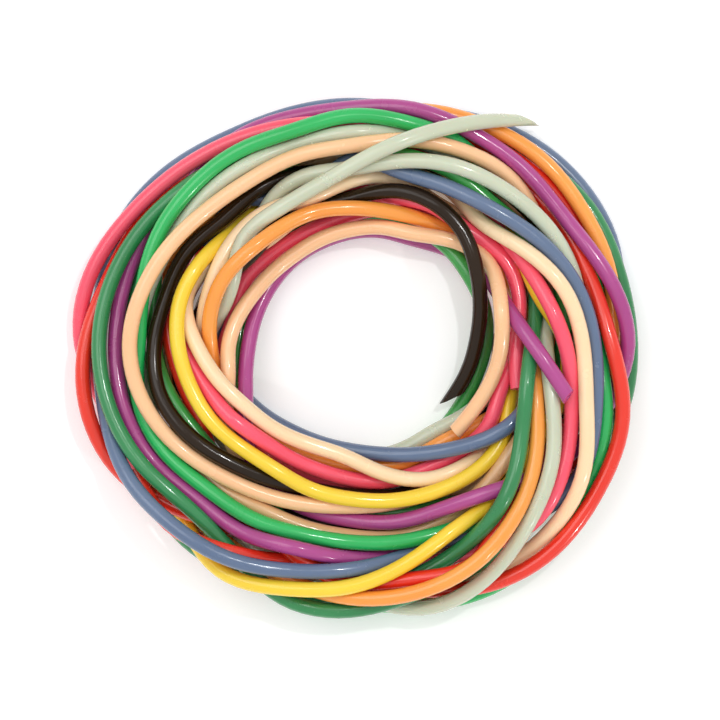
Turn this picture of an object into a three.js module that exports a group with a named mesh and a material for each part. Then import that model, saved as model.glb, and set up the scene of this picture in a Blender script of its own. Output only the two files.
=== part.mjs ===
// A loose coil of hollow plastic lacing cords, laid in a ring on a flat surface.
//
// Every cord is one solid of its own. Its guide is a list of [angle, radius, rank] points,
// in degrees, millimetres and an order of lying: a higher rank lies on top. The stretches
// that no one sees are eased towards the middle of the ring's band. A settling pass then
// lowers all the cords together until each one rests on the floor or on its neighbours,
// and each settled route is swept into a tube.
//
// Units are millimetres. +Z is up, the angle runs from +X towards +Y, and the origin is
// at the middle of the coil's footprint, on the surface that it rests on.

import * as THREE from 'three';

// ---- driving dimensions ---------------------------------------------------------------

const CORD_DIAMETER = 2.2;
const SECTION_SIDES = 8;
const STATION_ANGLE = 15;        // degrees of turn between two stations of a cord
const SHORTEST_STEP = 5;         // degrees: an end closer to a station than this replaces it
const CLEARANCE = 0.05;          // air between two cords that touch
const RANK_HEIGHT = 2.6;         // height given to one rank before settling

const RADIUS = CORD_DIAMETER / 2;
const FLAT_RADIUS = RADIUS * Math.cos(Math.PI / SECTION_SIDES);
const CONTACT = CORD_DIAMETER + CLEARANCE;

// ---- settling -------------------------------------------------------------------------

const SETTLE_ROUNDS = 900;       // rounds with weight on the cords
const HEAVY_ROUNDS = 500;        // of them with the whole weight
const LAST_WEIGHT = 0.3;         // share of the weight left in the last of them
const RELAX_ROUNDS = 250;        // rounds that only part cords still too close
const NEIGHBOUR_ROUNDS = 12;     // rounds between two searches for neighbours
const NEIGHBOUR_REACH = 1.5;     // how much further than touching a neighbour is looked for
const SINK_RATE = 0.006;         // share of its height that a free cord sinks each round
const SINK_STEP = 0.006;         // and the least that it sinks
const GUIDE_PULL = 0.05;         // pull of the guide radius on a cord of rank 0
const RANK_PULL = 0.03;          // and what each rank adds to it
const BEND_RADIAL = 0.25;        // how strongly bends are straightened, across the ring
const BEND_UPRIGHT = 0.15;       // and in height

// ---- hidden stretches -------------------------------------------------------------------

// The band that the ring fills: its inner and outer radius every 30 degrees from +X.
const BAND = [
  [16.5, 41], [19, 41.5], [16.5, 38.5], [14, 34.5], [12.5, 35.5], [12, 38],
  [13, 39.5], [15, 39], [14, 36], [13.5, 39], [15, 41], [15, 42],
];
const BAND_STEP = 30;            // degrees between two entries of the band
const BAND_MARGIN = 4;           // least distance of a hidden stretch from the band's edges
const HIDDEN_RANK = 3;           // a point of this rank or lower lies under the visible cords
const HIDDEN_SPREAD = 0.75;      // share kept of a hidden point's distance from the band's middle
const GUIDE_GRAIN = 0.5;         // millimetres that an eased point is rounded to
const TAIL_ANGLE = 733;          // hidden points past this angle belong to a tucked-in tail,
const TAIL_SHIFT = 3.4;          // which lies this much further out
const TAIL_REACH = 1.4;          // unless it is already this far outside the band's middle

/** The middle and the half width of the band at an angle. */
function bandAt(angle) {
  const place = (((angle % 360) + 360) % 360) / BAND_STEP;
  const index = Math.floor(place);
  const [innerA, outerA] = BAND[index];
  const [innerB, outerB] = BAND[(index + 1) % BAND.length];
  const inner = THREE.MathUtils.lerp(innerA, innerB, place - index);
  const outer = THREE.MathUtils.lerp(outerA, outerB, place - index);
  return { middle: (inner + outer) / 2, half: (outer - inner) / 2 };
}

/** Eases a hidden guide point towards the band's middle; a visible one stays as it is. */
function easeHidden([angle, radius, rank]) {
  if (rank > HIDDEN_RANK) {
    return [angle, radius, rank];
  }
  const { middle, half } = bandAt(angle);
  const tail = angle >= TAIL_ANGLE && radius < middle + TAIL_REACH ? TAIL_SHIFT : 0;
  const offset = (radius - middle) * HIDDEN_SPREAD + tail;
  const most = half - BAND_MARGIN;
  const eased = middle + THREE.MathUtils.clamp(offset, -most, most);
  return [angle, Math.round(eased / GUIDE_GRAIN) * GUIDE_GRAIN, rank];
}

// ---- cords ------------------------------------------------------------------------------

const cords = [];

function cord(name, color, points) {
  cords.push({ name, color, guide: points.map(easeHidden) });
}

cord("red", 0xe8361f, [
  [-150, 35.5, 5], [-144, 35, 6], [-130, 34, 7], [-118, 33, 6], [-106, 32, 4], [-90, 31, 2],
  [-60, 30.5, 1], [-30, 32, 1], [0, 33.5, 1], [40, 32, 1], [80, 32, 2], [120, 33.5, 3], [150, 36, 5],
  [168, 37, 7], [182, 38, 9], [195, 38.5, 9], [205, 38, 8], [217, 37, 7], [226, 35, 5], [238, 33, 4],
  [255, 32.5, 3], [270, 33.5, 3], [282, 36, 4], [291, 38, 7], [299, 39, 10], [310, 40, 11],
  [325, 41, 11], [340, 40, 11], [355, 38, 11], [365, 36, 10], [375, 35, 8], [384, 34.5, 6],
  [400, 34, 4], [430, 32, 2], [460, 30, 2], [480, 28, 4], [497, 27, 6], [512, 28, 7], [525, 26.5, 7],
  [542, 26, 7], [560, 24.5, 7], [568, 24, 6], [580, 24.5, 3], [600, 27.5, 3], [615, 32, 4],
  [632, 35, 7], [647, 34, 7], [662, 33, 6], [680, 34, 3], [705, 36, 4], [725, 37, 6], [735, 37, 5],
  [750, 36.5, 5], [765, 36, 5], [776, 35, 4], [790, 34, 3],
]);
cord("pink_inner", 0xf54d70, [
  [-15, 25, 9], [0, 25, 9], [6, 24.5, 7], [13, 24.5, 4.5], [28, 25, 5], [45, 24.5, 6], [62, 24, 5],
  [84, 23, 4], [110, 22, 3], [145, 22.5, 5], [165, 22.5, 7], [175, 22.5, 9], [190, 21.5, 9],
  [205, 20, 9], [220, 18.5, 9], [235, 18, 9], [250, 18, 9], [265, 18.5, 9], [280, 20, 9],
  [291, 20.5, 8], [302, 20.5, 8], [310, 21.5, 8], [322, 23.5, 7], [338, 25, 6], [352, 27.5, 4],
  [380, 27, 3], [410, 22.5, 4], [430, 20.5, 6], [444, 19, 7], [460, 17.5, 8], [475, 17, 8],
  [490, 17, 8], [505, 17.5, 8], [520, 18, 8], [535, 19, 8], [543, 19.5, 7], [560, 19, 4], [590, 18, 3],
  [620, 17.5, 3], [650, 18.5, 3], [680, 21.5, 3], [710, 23.5, 2], [720, 24, 2],
]);
cord("pink_outer", 0xf0457e, [
  [200, 33.5, 1], [230, 32.5, 1], [260, 31.5, 1], [290, 33, 3], [310, 35, 6], [325, 34.5, 8],
  [332, 33.5, 8], [340, 33, 8], [355, 31, 8], [370, 29.5, 8], [380, 28.5, 8], [388, 27.5, 6],
  [405, 27, 3], [430, 29, 3], [455, 31.5, 6], [473, 32.5, 9], [490, 34, 9], [505, 35.5, 9],
  [520, 37, 9], [533, 38.5, 9], [543, 38.5, 6], [556, 37, 3], [580, 36.5, 3], [610, 35.5, 2],
  [640, 35, 2], [670, 34, 2], [700, 33, 2],
]);
cord("purple", 0xa83c8c, [
  [-14, 32, 12], [-10, 30, 12], [-5, 27.5, 12], [0, 25.5, 12], [5, 24.5, 11], [10, 24, 9],
  [20, 22.5, 5], [36, 20.5, 4], [55, 18.5, 4], [70, 17.5, 5], [85, 16.5, 6], [100, 15.5, 6],
  [115, 15, 6], [130, 14.5, 6], [145, 14, 5], [160, 14, 5], [175, 14, 5], [190, 14.5, 5], [205, 16, 5],
  [215, 17.5, 4], [228, 21.5, 4], [240, 24.5, 6], [258, 24, 8], [272, 24.5, 8], [287, 26.5, 8],
  [302, 28, 8], [317, 29.5, 6], [330, 34.5, 4], [340, 38.5, 4], [349, 40.5, 5], [355, 40.5, 6],
  [360, 39, 7], [365, 38, 9], [373, 37, 10], [385, 35.5, 11], [400, 34, 11], [412, 34.5, 10],
  [424, 34.5, 9], [435, 34.5, 9], [453, 33.5, 9], [467, 32.5, 8], [480, 32, 6], [500, 32, 6],
  [510, 33, 7], [528, 33.5, 8], [550, 33.5, 8], [565, 33, 8], [580, 32, 8], [595, 31, 8],
  [610, 30.5, 8], [625, 30.5, 8], [645, 30.5, 8], [655, 31, 6], [680, 30.5, 3], [688, 30.5, 2],
]);
cord("green_bright", 0x2fc46a, [
  [230, 33.5, 0], [255, 35.5, 2], [275, 38, 5], [288, 39, 7], [300, 40, 7], [312, 40, 7],
  [325, 39.5, 8], [340, 37.5, 8], [346, 37, 6], [353, 35.5, 4], [362, 34, 2], [380, 30.5, 0],
  [395, 31, 1], [405, 32, 3], [415, 32.5, 7], [425, 32, 10], [445, 32, 10], [460, 31, 10],
  [475, 31, 10], [490, 31.5, 10], [505, 31.5, 10], [515, 31, 9], [525, 29.5, 7], [540, 29.5, 7],
  [550, 30.5, 6], [557, 32, 7], [575, 30, 9], [595, 29, 9], [610, 28.5, 9], [625, 28.5, 9],
  [645, 29.5, 9], [653, 30, 7], [670, 32, 4], [700, 32, 2],
]);
cord("green_dark", 0x2c8a55, [
  [90, 33, 1], [115, 32, 3], [130, 32.5, 7], [145, 33.5, 8], [160, 35, 8], [175, 36, 8], [190, 36, 8],
  [205, 35, 8], [220, 34, 8], [229, 33, 5], [240, 33.5, 4], [252, 35.5, 8], [265, 37.5, 9],
  [275, 38, 9], [287, 37.5, 9], [300, 36.5, 8], [320, 36.5, 4], [340, 38, 5], [357, 40, 8],
  [375, 40, 8], [384, 40, 8], [392, 40, 6], [401, 39, 4], [412, 37.5, 3], [425, 36, 3], [433, 35, 3],
  [445, 32.5, 3], [460, 29, 1], [480, 32, 2], [510, 32, 2], [540, 32.5, 3], [570, 33.5, 3],
  [600, 34, 4], [625, 34.5, 5], [645, 34, 7], [665, 32.5, 11], [677, 30.5, 12], [692, 27.5, 12],
  [705, 27, 12], [714, 27, 10], [722, 26.5, 7], [735, 26, 3], [752, 25, 2],
]);
cord("green_inner", 0x43a451, [
  [290, 17, 3], [305, 17.5, 5], [322, 18, 7], [340, 18, 7], [355, 19, 7], [370, 20, 7], [377, 20.5, 6],
  [390, 21, 6], [405, 21, 6], [420, 20.5, 5], [437, 19.5, 5], [446, 18, 4], [465, 16.5, 3],
  [490, 15.5, 3], [505, 15.5, 3], [520, 15.5, 3.5], [535, 16, 4], [550, 16.5, 4], [560, 17, 4],
  [580, 18.5, 3], [605, 21.5, 3], [625, 23, 6], [640, 24.5, 7], [655, 25.5, 7], [668, 27, 6],
  [690, 29, 3], [720, 30.5, 3], [745, 29.5, 5], [765, 27.5, 6], [775, 27, 5], [800, 26.5, 2],
  [840, 26.5, 2], [870, 27, 4], [900, 27, 6], [925, 25, 6], [940, 23.5, 6], [960, 22.5, 3],
  [1000, 24, 1],
]);
cord("blue", 0x64789c, [
  [-10, 35.5, 1], [0, 37, 2], [8, 39, 4], [16, 41, 6], [25, 41.5, 6], [40, 40, 6], [60, 37, 4],
  [85, 34.5, 3], [110, 33, 7], [120, 34, 7], [130, 35.5, 7], [145, 37, 7], [160, 37.5, 6],
  [175, 37, 5], [190, 37, 8], [205, 36.5, 9], [220, 36, 10], [240, 34.5, 10], [257, 33, 10],
  [272, 32, 9], [283, 31.5, 7], [300, 32.5, 4], [320, 35, 4], [337, 36.5, 8], [352, 35.5, 9],
  [365, 34, 9], [380, 32.5, 9], [392, 29.5, 8], [400, 27.5, 5], [415, 26.5, 2], [430, 26.5, 2],
  [443, 27.5, 6], [455, 26, 7], [467, 24, 6], [490, 21.5, 3], [520, 18.5, 2], [560, 16, 2],
  [590, 14.5, 4], [625, 14.5, 6], [647, 16, 7], [662, 18, 8], [677, 21, 9], [687, 23.5, 9],
  [693, 25.5, 7], [710, 28.5, 3], [722, 28.5, 3],
]);
cord("cream", 0xf7dcae, [
  [270, 33.5, 1], [290, 35, 5], [300, 36.5, 8], [310, 38, 10], [317, 39, 10], [325, 38.5, 10],
  [332, 37.5, 10], [340, 35.5, 10], [347, 34, 10], [360, 32.5, 10], [370, 32, 10], [380, 30.5, 10],
  [388, 28.5, 9], [396, 26.5, 5], [420, 23.5, 2], [450, 22, 2], [485, 22.5, 4], [505, 23, 7],
  [512, 22.5, 9], [527, 22, 10], [540, 21, 10], [550, 20, 10], [565, 18, 10], [580, 16.5, 10],
  [595, 15.5, 10], [610, 15, 10], [625, 15, 10], [632, 16, 10], [640, 17.5, 10], [647, 19.5, 10],
  [655, 21, 10], [670, 23, 10], [685, 25, 9], [694, 26, 5], [708, 28, 3], [720, 27.5, 3],
  [729, 25.5, 7], [738, 25.5, 10], [746, 26.5, 11], [760, 26, 10], [775, 25.5, 10], [795, 24.5, 10],
  [813, 23, 9], [827, 23, 9], [840, 22.5, 9], [850, 22, 8], [867, 21, 6], [880, 20.5, 3], [910, 20, 1],
  [950, 20, 0], [990, 21.5, 0],
]);
cord("peach", 0xf4c39a, [
  [-40, 19.5, 10], [-25, 19.5, 10], [-10, 21, 10], [3, 22.5, 10], [10, 23.5, 10], [18, 24, 10],
  [25, 24, 9], [32, 23, 9], [43, 21.5, 7], [55, 19.5, 7], [70, 18, 7], [85, 16.5, 8], [100, 16, 8],
  [115, 15, 8], [130, 15, 8], [145, 15, 8], [160, 16, 8], [175, 17, 8], [188, 18, 7], [200, 18.5, 5],
  [225, 20, 3], [260, 22.5, 3], [285, 24.5, 5], [300, 25.5, 7], [315, 27, 7], [325, 28, 5],
  [345, 30.5, 3], [370, 32, 1], [395, 32, 2], [410, 31.5, 5], [422, 31, 8], [432, 30, 10],
  [445, 28.5, 11], [460, 28, 11], [475, 27.5, 11], [490, 27, 11], [505, 28.5, 11], [520, 30, 11],
  [535, 31.5, 11], [550, 31.5, 11], [565, 29, 11], [580, 26.5, 11], [595, 24.5, 11], [603, 23.5, 9],
  [620, 22.5, 6], [650, 23.5, 4], [680, 25, 3], [706, 25.5, 1],
]);
cord("orange", 0xfba54a, [
  [0, 36.5, 5], [12, 38, 7], [23, 38.5, 9], [31, 38.5, 9], [40, 38, 9], [50, 37, 9], [62, 36, 9],
  [70, 35, 6], [80, 32, 2], [95, 29, 2], [130, 30.5, 1], [170, 34, 2], [210, 34, 2], [237, 33.5, 4],
  [250, 35, 5], [262, 36, 8], [275, 36, 8], [287, 36, 8], [303, 35, 9], [317, 33, 10], [325, 31, 10],
  [332, 29.5, 10], [340, 28, 10], [347, 27.5, 8], [365, 26.5, 4], [390, 23.5, 4], [405, 21.5, 6],
  [415, 21.5, 8], [430, 21.5, 9], [445, 20.5, 9], [460, 19.5, 9], [475, 19.5, 9], [490, 19.5, 9],
  [505, 20, 9], [520, 21, 9], [535, 20.5, 8], [550, 20, 5], [580, 18, 4], [610, 16.5, 5], [625, 17, 6],
  [640, 17.5, 6], [655, 18, 6], [663, 19, 6], [685, 21, 6], [700, 24, 5], [725, 26.5, 2], [735, 26, 2],
]);
cord("yellow", 0xf7d23a, [
  [190, 33.5, 1], [215, 33.5, 1], [235, 34, 4], [246, 34.5, 7], [257, 34.5, 9], [272, 33.5, 9],
  [285, 32, 9], [295, 31.5, 9], [306, 31.5, 7], [315, 31.5, 5], [326, 31, 4], [338, 30, 5],
  [348, 29.5, 7], [358, 29, 8], [368, 28, 6.5], [378, 27.5, 5.5], [387, 27, 4], [398, 25.5, 2.5],
  [420, 25.5, 1], [442, 26, 5], [452, 26, 7], [462, 24.5, 9], [475, 23.5, 11], [490, 23.5, 11],
  [505, 24, 11], [520, 24.5, 11], [535, 24.5, 11], [550, 23.5, 11], [565, 22, 11], [580, 21, 11],
  [595, 20.5, 11], [610, 21, 11], [625, 21.5, 11], [640, 22.5, 11], [655, 23.5, 11], [670, 24.5, 11],
  [683, 26, 9], [700, 27.5, 5], [730, 26.5, 3], [735, 26.5, 3],
]);
cord("clear_long", 0xc6cec0, [
  [49, 42.5, 13], [52, 41, 13], [55, 38, 13], [60, 36, 13], [65, 33, 13], [70, 30.5, 13], [75, 29, 13],
  [80, 27.5, 13], [90, 24.5, 13], [100, 23, 12], [110, 21.5, 11], [118, 21.5, 11], [126, 21, 9],
  [145, 21, 5], [170, 20, 3], [200, 18, 3], [240, 16, 3], [280, 16, 4], [295, 16.5, 5], [308, 17.5, 7],
  [320, 18.5, 7], [333, 21, 7], [345, 24, 5], [360, 28, 1.5], [385, 30, 1.5], [410, 31, 4],
  [425, 31, 7], [435, 30.5, 9], [460, 29.5, 9], [475, 29.5, 9], [490, 29.5, 9], [507, 29.5, 8],
  [530, 30, 5], [560, 31, 2], [600, 33.5, 2], [625, 35, 3], [638, 36, 6], [648, 37.5, 10],
  [662, 37, 11], [677, 35.5, 11], [685, 34, 11], [692, 32.5, 11], [700, 30.5, 11], [709, 29, 9],
  [718, 28.5, 5], [738, 27.5, 3],
]);
cord("clear_short", 0xb9c2b4, [
  [290, 32, 1], [330, 34, 1], [360, 34, 3], [380, 33, 7], [393, 32, 10], [404, 31, 11],
  [415, 29.5, 11], [425, 28.5, 10], [430, 27.5, 9], [440, 26, 8], [446, 25, 7], [465, 22.5, 4],
  [500, 20.5, 2], [540, 21.5, 1], [580, 23.5, 1], [620, 25.5, 1], [660, 29, 1], [700, 31.5, 1],
  [712, 31.5, 1],
]);
cord("black", 0x2b1e14, [
  [-33, 16.5, 11], [-28, 16.5, 12], [-20, 17, 12], [-13, 17, 12], [-5, 17.5, 12], [3, 18, 12],
  [10, 18.5, 12], [18, 19.5, 12], [25, 20.5, 12], [33, 21.5, 12], [40, 22.5, 12], [48, 23, 12],
  [60, 23.5, 12], [75, 23, 11], [93, 22, 11], [105, 21, 10], [113, 20.5, 9], [125, 20.5, 6],
  [150, 21.5, 3], [180, 23.5, 2], [215, 25, 2], [250, 25.5, 3], [285, 27.5, 2], [320, 32, 2],
  [350, 32.5, 2], [375, 31.5, 4], [388, 31, 7], [400, 29.5, 8], [415, 28.5, 9], [425, 27.5, 9],
  [435, 26, 8], [447, 26, 7], [457, 27, 8], [475, 25.5, 9], [490, 25, 9], [505, 25.5, 9],
  [520, 26.5, 9], [535, 28, 9], [550, 28.5, 9], [565, 27.5, 9], [580, 24.5, 9], [595, 22.5, 9],
  [605, 22, 8], [620, 21, 5], [650, 21.5, 3], [690, 22.5, 5], [705, 22.5, 5], [728, 23, 3],
]);
cord("tan", 0xdcb083, [
  [340, 32, 1], [360, 32, 3], [388, 31, 6], [400, 30.5, 6], [415, 29.5, 5], [440, 27.5, 3],
  [480, 25.5, 2], [530, 26.5, 2], [565, 27.5, 3], [582, 27, 7], [595, 26.5, 7], [610, 26.5, 7],
  [625, 27, 7], [640, 28, 7], [655, 29.5, 7], [670, 30, 5], [694, 29, 3],
]);

// ---- routes ---------------------------------------------------------------------------

/** The guide's radius and rank at an angle, by straight interpolation. */
function guideAt(guide, angle) {
  const next = Math.max(1, guide.findIndex((point) => point[0] >= angle));
  const [a0, r0, k0] = guide[next - 1];
  const [a1, r1, k1] = guide[next];
  const share = (angle - a0) / (a1 - a0);
  return { radius: r0 + (r1 - r0) * share, rank: k0 + (k1 - k0) * share };
}

/** The angles of a cord's stations: its two ends, and the whole steps between them. */
function stationAngles(guide) {
  const first = guide[0][0];
  const last = guide[guide.length - 1][0];
  const angles = [first];
  const start = Math.ceil((first + SHORTEST_STEP) / STATION_ANGLE) * STATION_ANGLE;
  for (let angle = start; angle <= last - SHORTEST_STEP; angle += STATION_ANGLE) {
    angles.push(angle);
  }
  angles.push(last);
  return angles;
}

/** Every station of every cord, with the height that its rank gives it. */
function makeStations() {
  const stations = [];
  cords.forEach((item, cordIndex) => {
    item.first = stations.length;
    stationAngles(item.guide).forEach((angle) => {
      const { radius, rank } = guideAt(item.guide, angle);
      const turn = THREE.MathUtils.degToRad(angle);
      stations.push({
        cordIndex,
        angle,
        cos: Math.cos(turn),
        sin: Math.sin(turn),
        guide: radius,
        pull: GUIDE_PULL + RANK_PULL * rank,
        r: radius,
        z: FLAT_RADIUS + rank * RANK_HEIGHT,
      });
    });
    item.last = stations.length - 1;
  });
  return stations;
}

/** Closest points of two straight stretches: the shares s and t along them, and the gap. */
function closest(stretchA, stretchB, out) {
  const [a0, a1] = stretchA;
  const [b0, b1] = stretchB;
  const ax = a0.r * a0.cos;
  const ay = a0.r * a0.sin;
  const bx = b0.r * b0.cos;
  const by = b0.r * b0.sin;
  const ux = a1.r * a1.cos - ax;
  const uy = a1.r * a1.sin - ay;
  const uz = a1.z - a0.z;
  const vx = b1.r * b1.cos - bx;
  const vy = b1.r * b1.sin - by;
  const vz = b1.z - b0.z;
  const wx = ax - bx;
  const wy = ay - by;
  const wz = a0.z - b0.z;
  const uu = ux * ux + uy * uy + uz * uz;
  const vv = vx * vx + vy * vy + vz * vz;
  const uv = ux * vx + uy * vy + uz * vz;
  const uw = ux * wx + uy * wy + uz * wz;
  const vw = vx * wx + vy * wy + vz * wz;
  const spread = uu * vv - uv * uv;
  let s = spread > 1e-9 ? THREE.MathUtils.clamp((uv * vw - vv * uw) / spread, 0, 1) : 0;
  const t = THREE.MathUtils.clamp((uv * s + vw) / vv, 0, 1);
  s = THREE.MathUtils.clamp((uv * t - uw) / uu, 0, 1);
  out.s = s;
  out.t = t;
  out.x = wx + ux * s - vx * t;
  out.y = wy + uy * s - vy * t;
  out.z = wz + uz * s - vz * t;
  out.gap = Math.hypot(out.x, out.y, out.z);
  return out;
}

/** The pairs of stretches near enough to touch in the next rounds. */
function findNeighbours(stretches) {
  const pairs = [];
  const near = {};
  for (let i = 0; i < stretches.length; i += 1) {
    for (let j = i + 1; j < stretches.length; j += 1) {
      const [a0, a1] = stretches[i];
      const [b0, b1] = stretches[j];
      const sameCord = a0.cordIndex === b0.cordIndex;
      const turned = Math.abs(a0.angle + a1.angle - b0.angle - b1.angle) / 2;
      const apart = Math.abs(((turned + 180) % 360) - 180);
      if (apart < 2 * STATION_ANGLE && !(sameCord && turned < 180)) {
        if (closest(stretches[i], stretches[j], near).gap < CONTACT + NEIGHBOUR_REACH) {
          pairs.push([stretches[i], stretches[j]]);
        }
      }
    }
  }
  return pairs;
}

/** Moves the ends of two stretches that are too close until they are a contact apart. */
function part(stretchA, stretchB, near) {
  closest(stretchA, stretchB, near);
  if (near.gap >= CONTACT || near.gap < 1e-6) {
    return;
  }
  const moves = [
    [stretchA[0], 1 - near.s],
    [stretchA[1], near.s],
    [stretchB[0], near.t - 1],
    [stretchB[1], -near.t],
  ];
  const nx = near.x / near.gap;
  const ny = near.y / near.gap;
  const nz = near.z / near.gap;
  let total = 0;
  const slopes = moves.map(([station, share]) => {
    const outward = share * (nx * station.cos + ny * station.sin);
    const upward = share * nz;
    total += outward * outward + upward * upward;
    return [outward, upward];
  });
  const push = (CONTACT - near.gap) / Math.max(total, 0.05);
  moves.forEach(([station], index) => {
    station.r += push * slopes[index][0];
    station.z = Math.max(FLAT_RADIUS, station.z + push * slopes[index][1]);
  });
}

/** The share of the cords' weight that acts in a round: all of it, then less and less. */
function weightIn(round) {
  const late = (round - HEAVY_ROUNDS) / (SETTLE_ROUNDS - HEAVY_ROUNDS);
  return THREE.MathUtils.lerp(1, LAST_WEIGHT, THREE.MathUtils.clamp(late, 0, 1));
}

/** Weight, the guide's pull and the cord's own stiffness, for one round. */
function pullStations(stations, weight) {
  const before = stations.map(({ r, z }) => ({ r, z }));
  cords.forEach(({ first, last }) => {
    for (let index = first; index <= last; index += 1) {
      const station = stations[index];
      if (index > first && index < last) {
        const a = before[index - 1];
        const b = before[index + 1];
        station.r += BEND_RADIAL * ((a.r + b.r) / 2 - station.r);
        station.z += BEND_UPRIGHT * ((a.z + b.z) / 2 - station.z);
      }
      station.r += station.pull * (station.guide - station.r);
      const height = station.z - FLAT_RADIUS;
      station.z -= Math.min(height, weight * (SINK_RATE * height + SINK_STEP));
    }
  });
}

/** Lowers the cords together until each lies on the floor or on its neighbours. */
function settle(stations) {
  const stretches = [];
  cords.forEach(({ first, last }) => {
    for (let index = first; index < last; index += 1) {
      stretches.push([stations[index], stations[index + 1]]);
    }
  });
  const near = {};
  let pairs = [];
  for (let round = 0; round < SETTLE_ROUNDS + RELAX_ROUNDS; round += 1) {
    if (round % NEIGHBOUR_ROUNDS === 0) {
      pairs = findNeighbours(stretches);
    }
    if (round < SETTLE_ROUNDS) {
      pullStations(stations, weightIn(round));
    }
    pairs.forEach(([a, b]) => part(a, b, near));
  }
}

// ---- solids ---------------------------------------------------------------------------

/** A settled route. Its sections stand on the stations and keep one flat facing down. */
class Route extends THREE.Curve {
  constructor(points) {
    super();
    this.curve = new THREE.CatmullRomCurve3(points);
  }

  getPoint(share, target) {
    return this.curve.getPoint(share, target);
  }

  getUtoTmapping(share) {
    return share;
  }

  computeFrenetFrames(steps) {
    const up = new THREE.Vector3(0, 0, 1);
    const frames = { tangents: [], normals: [], binormals: [] };
    for (let step = 0; step <= steps; step += 1) {
      const tangent = this.getTangent(step / steps);
      const normal = new THREE.Vector3().crossVectors(up, tangent).normalize();
      frames.tangents.push(tangent);
      frames.normals.push(normal);
      frames.binormals.push(new THREE.Vector3().crossVectors(tangent, normal));
    }
    return frames;
  }
}

/** The cord's section: a regular polygon with a flat side at the bottom. */
function section() {
  const corners = [];
  for (let side = 0; side < SECTION_SIDES; side += 1) {
    const turn = ((side + 0.5) * 2 * Math.PI) / SECTION_SIDES;
    corners.push(new THREE.Vector2(RADIUS * Math.cos(turn), RADIUS * Math.sin(turn)));
  }
  return new THREE.Shape(corners);
}

function sweep(item, stations) {
  const points = stations
    .slice(item.first, item.last + 1)
    .map(({ r, cos, sin, z }) => new THREE.Vector3(r * cos, r * sin, z));
  const geometry = new THREE.ExtrudeGeometry(section(), {
    steps: points.length - 1,
    extrudePath: new Route(points),
  });
  const material = new THREE.MeshStandardMaterial({
    color: item.color,
    roughness: 0.22,
    metalness: 0,
  });
  const mesh = new THREE.Mesh(geometry, material);
  mesh.name = `cord_${item.name}`;
  return mesh;
}

const stations = makeStations();
settle(stations);

const coil = new THREE.Group();
cords.forEach((item) => coil.add(sweep(item, stations)));

const footprint = new THREE.Box3().setFromObject(coil);
const middle = footprint.getCenter(new THREE.Vector3());
coil.position.set(-middle.x, -middle.y, -footprint.min.z);

export default coil;
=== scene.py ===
"""A loose coil of glossy hollow lacing cords lying on a pale surface.

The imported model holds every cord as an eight-sided tube on its settled route. This script reads
each route back from its tube, lays a round, hollow, hand-cut cord of soft glossy plastic along it,
and sets up the camera, the floor and the light. Lengths are in metres.
"""

import logging
import math
from dataclasses import dataclass, field
from enum import Enum

import bmesh
import bpy
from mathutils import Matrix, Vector


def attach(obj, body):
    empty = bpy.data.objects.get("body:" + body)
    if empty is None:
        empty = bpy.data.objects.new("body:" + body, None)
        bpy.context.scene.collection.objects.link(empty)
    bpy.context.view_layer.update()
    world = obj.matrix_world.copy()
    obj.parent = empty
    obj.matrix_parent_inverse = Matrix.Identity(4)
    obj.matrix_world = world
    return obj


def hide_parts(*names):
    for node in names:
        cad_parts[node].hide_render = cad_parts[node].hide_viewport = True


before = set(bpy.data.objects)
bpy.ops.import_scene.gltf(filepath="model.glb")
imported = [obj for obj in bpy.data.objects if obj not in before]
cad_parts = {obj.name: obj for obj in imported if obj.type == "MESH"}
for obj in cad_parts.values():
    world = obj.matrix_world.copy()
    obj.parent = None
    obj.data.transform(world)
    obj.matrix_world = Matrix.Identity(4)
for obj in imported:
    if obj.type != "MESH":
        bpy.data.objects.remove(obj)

LOG = logging.getLogger("coil")
MM = 0.001
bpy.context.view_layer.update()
BODY = "root"


# ---- helpers --------------------------------------------------------------------------------


def deselect_all() -> None:
    """Leaves nothing selected and nothing active, in object mode."""
    if bpy.context.object is not None and bpy.context.object.mode != "OBJECT":
        bpy.ops.object.mode_set(mode="OBJECT")
    bpy.ops.object.select_all(action="DESELECT")


def make_active(piece: bpy.types.Object) -> None:
    """Selects one object alone and makes it the active one.

    Args:
        piece: the object that the next operators act on.
    """
    deselect_all()
    piece.select_set(True)
    bpy.context.view_layer.objects.active = piece


def linear(red: int, green: int, blue: int) -> tuple[float, float, float, float]:
    """Turns a display colour into the linear colour that a shader socket takes.

    Args:
        red: display red, 0 to 255.
        green: display green, 0 to 255.
        blue: display blue, 0 to 255.

    Returns:
        The linear red, green, blue and an alpha of 1.
    """
    def channel(value: int) -> float:
        """One channel, by the display curve."""
        share = value / 255
        return share / 12.92 if share <= 0.04045 else ((share + 0.055) / 1.055) ** 2.4

    return (channel(red), channel(green), channel(blue), 1.0)


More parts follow.
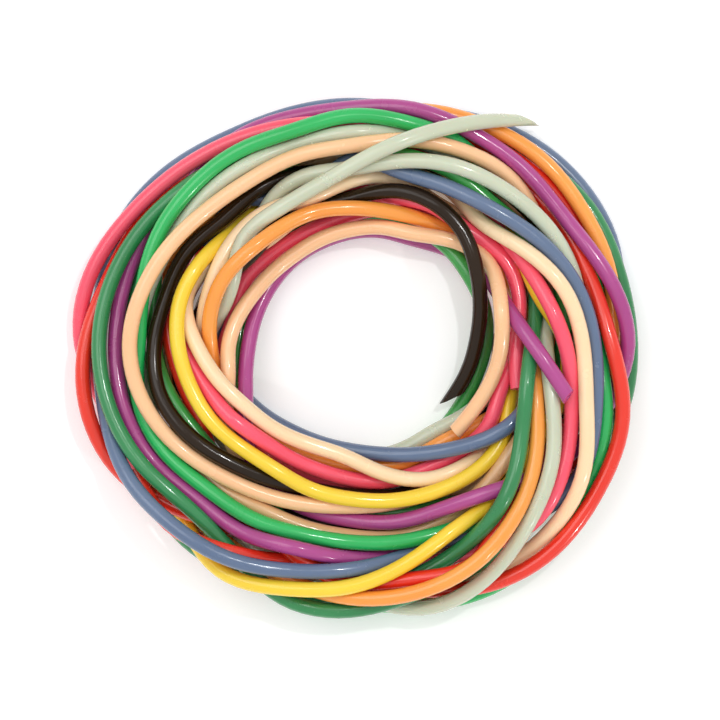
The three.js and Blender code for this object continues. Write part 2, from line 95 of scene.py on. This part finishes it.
def smooth_line(knots: list[Vector], steps: int, easing: int) -> list[Vector]:
    """Draws a smooth curve, a cubic B-spline, through a row of knots.

    Args:
        knots: the points that the curve passes.
        steps: how many points to put on each stretch between two knots.
        easing: rounds that pull the curve onto its knots; few rounds leave it a little looser.

    Returns:
        The points along the curve, from the first knot to the last.
    """
    def padded(points: list[Vector]) -> list[Vector]:
        """The points with one more at each end, in line with the last two."""
        return [2 * points[0] - points[1], *points, 2 * points[-1] - points[-2]]

    controls = [knot.copy() for knot in knots]
    for _ in range(easing):
        row = padded(controls)
        for index, knot in enumerate(knots):
            on_curve = (row[index] + 4 * row[index + 1] + row[index + 2]) / 6
            controls[index] += knot - on_curve
    row = padded(controls)
    line = []
    for index in range(len(knots) - 1):
        a, b, c, d = row[index:index + 4]
        for step in range(steps):
            t = step / steps
            line.append(
                (
                    (1 - t) ** 3 * a
                    + (3 * t ** 3 - 6 * t ** 2 + 4) * b
                    + (-3 * t ** 3 + 3 * t ** 2 + 3 * t + 1) * c
                    + t ** 3 * d
                ) / 6
            )
    line.append((row[-3] + 4 * row[-2] + row[-1]) / 6)
    return line


def line_length(line: list[Vector]) -> float:
    """The length of a line of points."""
    return sum((b - a).length for a, b in zip(line, line[1:]))


# ---- shader groups --------------------------------------------------------------------------


@dataclass(frozen=True)
class ExtrusionMarks:
    """What drawing the cord out of a die and handling it leave on the skin: a shader node group.

    The group puts out Tone, a slow drift of the colour; Polish, where fingers dulled the gloss;
    Relief, the faint lines along the cord; and Dust, a mask of the few specks that cling to it.
    """

    name: str = "Extrusion marks"
    drift_scale: float = 85.0
    smudge_scale: float = 420.0
    speck_scale: float = 620.0
    speck_size: float = 0.035
    line_count: float = 5.0
    line_stretch: float = 14.0

    def build(self) -> bpy.types.NodeTree:
        """Builds the group once, or finds it.

        Returns:
            The node group, with four outputs.
        """
        if self.name in bpy.data.node_groups:
            return bpy.data.node_groups[self.name]
        group = bpy.data.node_groups.new(self.name, "ShaderNodeTree")
        sockets = group.interface
        specks_at = sockets.new_socket("Speck Size", in_out="INPUT", socket_type="NodeSocketFloat")
        specks_at.default_value = self.speck_size
        for output in ("Tone", "Polish", "Relief", "Dust"):
            sockets.new_socket(output, in_out="OUTPUT", socket_type="NodeSocketFloat")
        nodes, links = group.nodes, group.links
        inputs = nodes.new("NodeGroupInput")
        outputs = nodes.new("NodeGroupOutput")
        place = nodes.new("ShaderNodeTexCoord")

        drift = self._noise(group, self.drift_scale, 2.0)
        links.new(place.outputs["Object"], drift.inputs["Vector"])
        links.new(drift.outputs["Fac"], outputs.inputs["Tone"])

        smudge = self._noise(group, self.smudge_scale, 4.0)
        links.new(place.outputs["Object"], smudge.inputs["Vector"])
        links.new(smudge.outputs["Fac"], outputs.inputs["Polish"])

        links.new(self._die_lines(group), outputs.inputs["Relief"])

        specks = nodes.new("ShaderNodeTexVoronoi")
        specks.inputs["Scale"].default_value = self.speck_scale
        links.new(place.outputs["Object"], specks.inputs["Vector"])
        dust = nodes.new("ShaderNodeMath")
        dust.operation = "LESS_THAN"
        links.new(specks.outputs["Distance"], dust.inputs[0])
        links.new(inputs.outputs["Speck Size"], dust.inputs[1])
        links.new(dust.outputs[0], outputs.inputs["Dust"])
        return group

    def _noise(self, group: bpy.types.NodeTree, scale: float, detail: float) -> bpy.types.Node:
        """Adds a noise texture of the given scale and detail to the group."""
        noise = group.nodes.new("ShaderNodeTexNoise")
        noise.inputs["Scale"].default_value = scale
        noise.inputs["Detail"].default_value = detail
        return noise

    def _die_lines(self, group: bpy.types.NodeTree) -> bpy.types.NodeSocket:
        """Adds noise that is drawn out along the cord and closes on itself around it.

        Args:
            group: the node group to build in.

        Returns:
            The socket that carries the height of the lines.
        """
        nodes, links = group.nodes, group.links
        skin = nodes.new("ShaderNodeUVMap")
        skin.uv_map = LaceTube.UV_NAME
        parts = nodes.new("ShaderNodeSeparateXYZ")
        links.new(skin.outputs["UV"], parts.inputs[0])
        turn = nodes.new("ShaderNodeMath")
        turn.operation = "MULTIPLY"
        turn.inputs[1].default_value = 2 * math.pi
        links.new(parts.outputs["Y"], turn.inputs[0])
        around = nodes.new("ShaderNodeCombineXYZ")
        for axis, operation in (("X", "COSINE"), ("Y", "SINE")):
            wave = nodes.new("ShaderNodeMath")
            wave.operation = operation
            links.new(turn.outputs[0], wave.inputs[0])
            links.new(wave.outputs[0], around.inputs[axis])
        along = nodes.new("ShaderNodeMath")
        along.operation = "MULTIPLY"
        along.inputs[1].default_value = self.line_stretch
        links.new(parts.outputs["X"], along.inputs[0])
        links.new(along.outputs[0], around.inputs["Z"])
        lines = self._noise(group, self.line_count, 3.0)
        links.new(around.outputs[0], lines.inputs["Vector"])
        return lines.outputs["Fac"]


# ---- finishes -------------------------------------------------------------------------------


@dataclass(frozen=True)
class LightPath:
    """What light does at and under the skin.

    Attributes:
        scatter: the share that spreads under the skin.
        passing: the share that goes through.
        coat: the weight of the clear skin on top.
        mirror: the strength of the plain reflection.
    """

    scatter: float
    passing: float = 0.0
    coat: float = 0.2
    mirror: float = 0.5


class Clarity(Enum):
    """How far light gets into the plastic."""

    SOLID = LightPath(0.12)
    MILKY = LightPath(0.25)
    CLEAR = LightPath(0.3, passing=0.24)
    DARK = LightPath(0.0, coat=0.0, mirror=0.28)


@dataclass(frozen=True)
class PvcFinish:
    """Soft glossy vinyl of one colour.

    Attributes:
        slot: the record's material slot that the finish is for.
        colour: the skin's colour where it is lit.
        deep: the colour that it drifts towards where the wall is thicker.
        clarity: how far light gets into it.
        gloss: the roughness of the cleanest skin.
    """

    slot: str
    colour: tuple[float, float, float, float]
    deep: tuple[float, float, float, float]
    clarity: Clarity = Clarity.SOLID
    gloss: float = 0.13

    ROUGHEST = 0.2
    SMUDGED = (0.35, 0.75)
    RELIEF_DEPTH = 0.035 * MM
    RELIEF_STRENGTH = 0.6
    VINYL_IOR = 1.53
    COAT_ROUGHNESS = 0.06
    SCATTER_SPREAD = (1.0, 0.6, 0.4)
    SCATTER_REACH = 0.9 * MM
    DUST_COLOUR = (0.86, 0.85, 0.82, 1.0)
    DUST_SHARE = 0.12

    def build(self) -> bpy.types.Material:
        """Builds the finish's material, or finds it.

        Returns:
            The material, one for each slot.
        """
        name = f"soft_vinyl_{self.slot}"
        if name in bpy.data.materials:
            return bpy.data.materials[name]
        material = bpy.data.materials.new(name)
        material.use_nodes = True
        nodes, links = material.node_tree.nodes, material.node_tree.links
        shader = nodes["Principled BSDF"]
        marks = nodes.new("ShaderNodeGroup")
        marks.node_tree = ExtrusionMarks().build()

        tint = nodes.new("ShaderNodeMix")
        tint.data_type = "RGBA"
        tint.inputs["A"].default_value = self.colour
        tint.inputs["B"].default_value = self.deep
        links.new(marks.outputs["Tone"], tint.inputs["Factor"])
        dusty = nodes.new("ShaderNodeMath")
        dusty.operation = "MULTIPLY"
        dusty.inputs[1].default_value = self.DUST_SHARE
        links.new(marks.outputs["Dust"], dusty.inputs[0])
        skin = nodes.new("ShaderNodeMix")
        skin.data_type = "RGBA"
        skin.inputs["B"].default_value = self.DUST_COLOUR
        links.new(dusty.outputs[0], skin.inputs["Factor"])
        links.new(tint.outputs["Result"], skin.inputs["A"])
        links.new(skin.outputs["Result"], shader.inputs["Base Color"])

        dull = nodes.new("ShaderNodeMapRange")
        dull.inputs["From Min"].default_value = self.SMUDGED[0]
        dull.inputs["From Max"].default_value = self.SMUDGED[1]
        dull.inputs["To Min"].default_value = self.gloss
        dull.inputs["To Max"].default_value = self.gloss + self.ROUGHEST
        links.new(marks.outputs["Polish"], dull.inputs["Value"])
        links.new(dull.outputs["Result"], shader.inputs["Roughness"])

        bump = nodes.new("ShaderNodeBump")
        bump.inputs["Distance"].default_value = self.RELIEF_DEPTH
        bump.inputs["Strength"].default_value = self.RELIEF_STRENGTH
        links.new(marks.outputs["Relief"], bump.inputs["Height"])
        links.new(bump.outputs["Normal"], shader.inputs["Normal"])

        self._set_constants(shader)
        return material

    def _set_constants(self, shader: bpy.types.Node) -> None:
        """Sets the sockets that are the same all over the skin."""
        light = self.clarity.value
        constants = {
            "Metallic": 0.0,
            "IOR": self.VINYL_IOR,
            "Specular IOR Level": light.mirror,
            "Coat Weight": light.coat,
            "Coat Roughness": self.COAT_ROUGHNESS,
            "Subsurface Weight": light.scatter,
            "Subsurface Radius": self.SCATTER_SPREAD,
            "Subsurface Scale": self.SCATTER_REACH,
            "Transmission Weight": light.passing,
        }
        for socket, value in constants.items():
            shader.inputs[socket].default_value = value


class Finish(Enum):
    """The vinyl colours in the coil; the tan cord's is the peach darkened as painted shade."""

    RED = PvcFinish("red_pvc", linear(243, 60, 36), linear(224, 42, 26))
    PINK = PvcFinish("pink_pvc", linear(253, 96, 118), linear(244, 74, 100))
    PURPLE = PvcFinish("purple_pvc", linear(186, 78, 148), linear(160, 58, 126))
    BRIGHT_GREEN = PvcFinish("bright_green_pvc", linear(44, 194, 104), linear(28, 166, 78))
    MID_GREEN = PvcFinish("mid_green_pvc", linear(72, 172, 84), linear(54, 150, 66))
    DARK_GREEN = PvcFinish("dark_green_pvc", linear(58, 150, 90), linear(36, 118, 66))
    BLUE = PvcFinish("blue_pvc", linear(108, 126, 154), linear(82, 102, 134))
    CREAM = PvcFinish("cream_pvc", linear(255, 226, 186), linear(250, 210, 164), Clarity.MILKY)
    PEACH = PvcFinish("peach_pvc", linear(254, 206, 160), linear(248, 188, 138), Clarity.MILKY)
    ORANGE = PvcFinish("orange_pvc", linear(254, 172, 80), linear(246, 146, 54))
    YELLOW = PvcFinish("yellow_pvc", linear(252, 220, 66), linear(242, 198, 38))
    CLEAR = PvcFinish("clear_pvc", linear(230, 236, 212), linear(212, 218, 190), Clarity.CLEAR)
    BLACK = PvcFinish("black_pvc", linear(46, 30, 14), linear(30, 20, 9), Clarity.DARK, 0.09)
    # Peach vinyl darkened to stand for peach lying in shade: painted shade, not a colour of its
    # own.
    TAN = PvcFinish("tan_pvc", linear(228, 186, 138), linear(210, 164, 116), Clarity.MILKY)


# ---- cords ----------------------------------------------------------------------------------


class Cut(Enum):
    """How far a hand-cut end leans from square, in degrees."""

    NEAR_SQUARE = 9.0
    LEANING = 24.0
    SLANTED = 58.0
    LONG_SLANT = 70.0


@dataclass(frozen=True)
class CordSize:
    """The cord's section.

    Attributes:
        outer: the outside diameter.
        bore: the diameter of the hole through it.
    """

    outer: float = 2.2 * MM
    bore: float = 0.9 * MM

    @property
    def wall(self) -> float:
        """The thickness of the wall."""
        return (self.outer - self.bore) / 2


@dataclass(frozen=True)
class Stretch:
    """A cord's end that was pulled until it stayed thinner.

    Attributes:
        tip: the width left at the very end, as a share of the whole width.
        length: how far along the cord the thinning reaches.
    """

    tip: float = 1.0
    length: float = 12 * MM

    def width_at(self, distance: float) -> float:
        """The share of the cord's width that is left at a distance from the end."""
        share = min(distance / self.length, 1.0)
        return self.tip + (1.0 - self.tip) * share * share * (3 - 2 * share)


@dataclass(frozen=True)
class LaidRoute:
    """The route of one cord, read back from its eight-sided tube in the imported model.

    Attributes:
        node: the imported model's node.
        size: the cord's section, which tells a small face from the long sides.
        steps: points on each stretch between two sections of the tube.
        easing: rounds that pull the smooth line onto the sections' middles.
    """

    node: str
    size: CordSize
    steps: int = 6
    easing: int = 4

    SIDES = 8
    END_FACE_MARGIN = 1.02
    FLATNESS = 0.01 * MM
    SAME_PLACE = 0.001 * MM

    def knots(self) -> list[Vector]:
        """Finds the middle of each of the tube's sections, in order.

        Returns:
            The middles, running anticlockwise round the coil as seen from above.
        """
        tube = bmesh.new()
        tube.from_mesh(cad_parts[self.node].data)
        bmesh.ops.remove_doubles(tube, verts=tube.verts, dist=self.SAME_PLACE)
        tube.verts.index_update()
        ring = self._end_ring(tube)
        seen = set(ring)
        middles = []
        while ring:
            corners = [v.co for v in sorted(ring, key=lambda v: v.index)]
            middles.append(sum(corners, Vector()) / len(corners))
            ring = {e.other_vert(v) for v in ring for e in v.link_edges} - seen
            seen |= ring
        tube.free()
        swept = sum(a.x * b.y - a.y * b.x for a, b in zip(middles, middles[1:]))
        return middles if swept > 0 else middles[::-1]

    def _end_ring(self, tube: bmesh.types.BMesh) -> set[bmesh.types.BMVert]:
        """Finds the corners of one of the tube's two flat end faces.

        Args:
            tube: the tube, with its shared corners merged.

        Returns:
            The corners of the end face.
        """
        longest = self.size.outer * self.END_FACE_MARGIN
        small = [f for f in tube.faces if max(e.calc_length() for e in f.edges) < longest]
        for face in small:
            corner = face.verts[0].co
            ring = set()
            for vertex in {v for f in small for v in f.verts}:
                away = vertex.co - corner
                if away.length < longest and abs(away.dot(face.normal)) < self.FLATNESS:
                    ring.add(vertex)
            if len(ring) == self.SIDES:
                return ring
        raise ValueError(f"{self.node} has no flat end face")

    def line(self) -> list[Vector]:
        """The smooth route, from the cord's first end to its last, kept above the surface."""
        route = smooth_line(self.knots(), self.steps, self.easing)
        for point in route:
            point.z = max(point.z, self.size.outer / 2)
        return route


@dataclass
class LaceTube:
    """One round, hollow, hand-cut lacing cord on its route.

    Attributes:
        colour_name: the cord's name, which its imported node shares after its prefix.
        finish: the vinyl that it is drawn from.
        first_cut: the lean of the cut at its first end.
        cut_turn: which way round the cord the cut leans, in degrees.
        stretch: how far the first end was drawn out thin.
        size: the cord's section.
    """

    colour_name: str
    finish: Finish
    first_cut: Cut = Cut.NEAR_SQUARE
    cut_turn: float = 0.0
    stretch: Stretch = field(default_factory=Stretch)
    size: CordSize = field(default_factory=CordSize)

    UV_NAME = "UVMap"
    NODE_PREFIX = "cord_"
    PIECE_PREFIX = "lace_"
    ROUNDNESS = 6
    SMOOTH_ANGLE = math.radians(42)

    def build(self) -> bpy.types.Object:
        """Returns:
            The finished piece.
        """
        node = self.NODE_PREFIX + self.colour_name
        line = LaidRoute(node, self.size).line()
        piece = self._hollow_tube(line)
        self._cut_first_end(piece, line)
        make_active(piece)
        bpy.ops.object.shade_smooth_by_angle(angle=self.SMOOTH_ANGLE)
        piece.data.materials.clear()
        piece.data.materials.append(self.finish.value.build())
        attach(piece, BODY)
        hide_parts(node)
        return piece

    def _hollow_tube(self, line: list[Vector]) -> bpy.types.Object:
        """Sweeps a round tube along the route and gives it its wall.

        Args:
            line: the points of the route.

        Returns:
            The tube's object, open at both ends, with its bore right through.
        """
        name = self.PIECE_PREFIX + self.colour_name
        curve = bpy.data.curves.new(name, "CURVE")
        curve.dimensions = "3D"
        curve.twist_mode = "Z_UP"
        curve.bevel_depth = self.size.outer / 2
        curve.bevel_resolution = self.ROUNDNESS
        curve.use_fill_caps = False
        spline = curve.splines.new("POLY")
        spline.points.add(len(line) - 1)
        distance = 0.0
        before = line[0]
        for point, place in zip(spline.points, line):
            distance += (place - before).length
            before = place
            point.co = (*place, 1.0)
            point.radius = self.stretch.width_at(distance)
        piece = bpy.data.objects.new(name, curve)
        bpy.context.scene.collection.objects.link(piece)
        make_active(piece)
        bpy.ops.object.convert(target="MESH")
        piece = bpy.context.object
        piece.name = name
        wall = piece.modifiers.new("wall", "SOLIDIFY")
        wall.thickness = self.size.wall
        wall.offset = -1.0
        bpy.ops.object.modifier_apply(modifier=wall.name)
        return piece

    def _cut_first_end(self, piece: bpy.types.Object, line: list[Vector]) -> None:
        """Cuts the first end off along a leaning plane, as scissors leave it.

        Args:
            piece: the tube.
            line: the points of its route.
        """
        outward = (line[0] - line[2]).normalized()
        side = outward.cross(Vector((0, 0, 1))).normalized()
        upward = side.cross(outward)
        turn = math.radians(self.cut_turn)
        lean = math.radians(self.first_cut.value)
        sideways = side * math.cos(turn) + upward * math.sin(turn)
        reach = self.size.outer / 2 * math.tan(lean)
        middle = line[0] - outward * reach
        facing = outward * math.cos(lean) + sideways * math.sin(lean)
        self._select_first_end(piece, line, 2 * reach + self.size.outer)
        bpy.ops.object.mode_set(mode="EDIT")
        bpy.ops.mesh.select_mode(type="VERT")
        bpy.ops.mesh.bisect(plane_co=middle, plane_no=facing, clear_outer=True, use_fill=True)
        bpy.ops.object.mode_set(mode="OBJECT")

    def _select_first_end(
        self, piece: bpy.types.Object, line: list[Vector], length: float
    ) -> None:
        """Selects the tube's skin and bore from its first end over a length, and nothing else.

        Args:
            piece: the tube, whose skin and bore each run section by section.
            line: the points of its route.
            length: how far from the first end to select.
        """
        make_active(piece)
        bpy.ops.object.mode_set(mode="EDIT")
        bpy.ops.mesh.select_all(action="DESELECT")
        bpy.ops.object.mode_set(mode="OBJECT")
        skin = len(piece.data.vertices) // 2
        ring = skin // len(line)
        last_ring = self._rings_within(line, length)
        for vertex in piece.data.vertices:
            vertex.select = (vertex.index % skin) // ring <= last_ring

    def _rings_within(self, line: list[Vector], length: float) -> int:
        """Counts the sections of the tube that lie within a length from its first end."""
        for index in range(1, len(line)):
            if line_length(line[:index + 1]) > length:
                return index
        return len(line) - 1


@dataclass
class CordCoil:
    """All the cords of the coil."""

    laces: list[LaceTube] = field(default_factory=lambda: [
        LaceTube("red", Finish.RED),
        LaceTube("pink_inner", Finish.PINK, Cut.NEAR_SQUARE, 90.0),
        LaceTube("pink_outer", Finish.PINK),
        LaceTube("purple", Finish.PURPLE, Cut.LEANING, 140.0),
        LaceTube("green_bright", Finish.BRIGHT_GREEN),
        LaceTube("green_dark", Finish.DARK_GREEN),
        LaceTube("green_inner", Finish.MID_GREEN),
        LaceTube("blue", Finish.BLUE, Cut.LEANING, 40.0),
        LaceTube("cream", Finish.CREAM),
        LaceTube("peach", Finish.PEACH, Cut.NEAR_SQUARE, 20.0),
        LaceTube("orange", Finish.ORANGE),
        LaceTube("yellow", Finish.YELLOW),
        LaceTube("clear_long", Finish.CLEAR, Cut.LONG_SLANT, 180.0, Stretch(0.62)),
        LaceTube("clear_short", Finish.CLEAR),
        LaceTube("black", Finish.BLACK, Cut.SLANTED, 180.0),
        # The tan cord is drawn in peach darkened as painted shade.
        LaceTube("tan", Finish.TAN),
    ])

    def build(self) -> None:
        """Models every cord and reports it."""
        for lace in self.laces:
            piece = lace.build()
            LOG.info("%s: %d faces", piece.name, len(piece.data.polygons))


# ---- studio ---------------------------------------------------------------------------------


@dataclass(frozen=True)
class SoftLamp:
    """A square soft lamp that faces the coil.

    Attributes:
        name: the lamp's name.
        place: where it hangs.
        size: its width.
        watts: its power.
    """

    name: str
    place: tuple[float, float, float]
    size: float
    watts: float

    def build(self) -> None:
        """Hangs the lamp and turns it towards the coil."""
        data = bpy.data.lights.new(self.name, "AREA")
        data.size = self.size
        data.energy = self.watts
        lamp = bpy.data.objects.new(self.name, data)
        lamp.location = Vector(self.place)
        lamp.rotation_mode = "QUATERNION"
        lamp.rotation_quaternion = (-lamp.location).to_track_quat("-Z", "Y")
        bpy.context.scene.collection.objects.link(lamp)


@dataclass
class Studio:
    """The camera straight above the coil, the pale surface under it and the soft light.

    Attributes:
        aim: the point on the surface that the camera looks down at.
        field_width: the width that the camera takes in at the coil's mid-height.
        level: the coil's mid-height.
        height: the camera's height above that level.
        floor_size: the width of the surface.
        world_strength: the brightness of the even surround.
        floor_glow: the light that the surface adds of its own, to stay pale.
    """

    aim: tuple[float, float] = (0.59 * MM, -0.46 * MM)
    field_width: float = 102.2 * MM
    level: float = 8.0 * MM
    height: float = 520.0 * MM
    floor_size: float = 3.0
    floor_glow: float = 0.18

    SENSOR_WIDTH = 36.0
    FLOOR_DROP = 0.1 * MM
    FLOOR_COLOUR = (0.93, 0.93, 0.93, 1.0)
    FLOOR_ROUGHNESS = 0.9
    WHITE = (1.0, 1.0, 1.0, 1.0)
    LAMPS = (
        SoftLamp("overhead_softbox", (-260 * MM, 200 * MM, 620 * MM), 420 * MM, 1.1),
        SoftLamp("far_spot", (430 * MM, -430 * MM, 380 * MM), 16 * MM, 0.5),
        SoftLamp("near_spot", (150 * MM, 175 * MM, 560 * MM), 22 * MM, 0.55),
    )
    world_strength: float = 0.8

    def build(self) -> None:
        """Sets up the camera, the floor, the lamps and the sky."""
        self._camera()
        self._floor()
        for lamp in self.LAMPS:
            lamp.build()
        self._sky()
        bpy.context.scene.view_settings.view_transform = "Standard"

    def _camera(self) -> None:
        """Adds the camera, looking straight down with +Y up in the picture."""
        data = bpy.data.cameras.new("camera")
        data.sensor_width = self.SENSOR_WIDTH
        data.lens = data.sensor_width * self.height / self.field_width
        camera = bpy.data.objects.new("camera", data)
        camera.location = (*self.aim, self.level + self.height)
        bpy.context.scene.collection.objects.link(camera)
        bpy.context.scene.camera = camera

    def _floor(self) -> None:
        """Adds the plain pale surface that the coil lies on."""
        deselect_all()
        bpy.ops.mesh.primitive_plane_add(size=self.floor_size, location=(0, 0, -self.FLOOR_DROP))
        floor = bpy.context.object
        floor.name = "floor"
        bpy.ops.object.transform_apply(location=True, rotation=False, scale=False)
        paper = bpy.data.materials.new("pale_surface")
        paper.use_nodes = True
        shader = paper.node_tree.nodes["Principled BSDF"]
        shader.inputs["Base Color"].default_value = self.FLOOR_COLOUR
        shader.inputs["Roughness"].default_value = self.FLOOR_ROUGHNESS
        shader.inputs["Emission Color"].default_value = self.WHITE
        shader.inputs["Emission Strength"].default_value = self.floor_glow
        floor.data.materials.append(paper)

    def _sky(self) -> None:
        """Adds an even white surround."""
        world = bpy.data.worlds.new("surround")
        world.use_nodes = True
        background = world.node_tree.nodes["Background"]
        background.inputs["Color"].default_value = self.WHITE
        background.inputs["Strength"].default_value = self.world_strength
        bpy.context.scene.world = world


def main() -> None:
    """Builds the studio and the coil."""
    logging.basicConfig(level=logging.INFO, format="%(name)s: %(message)s")
    Studio().build()
    LOG.info("studio ready")
    CordCoil().build()


if __name__ == "__main__":
    main()
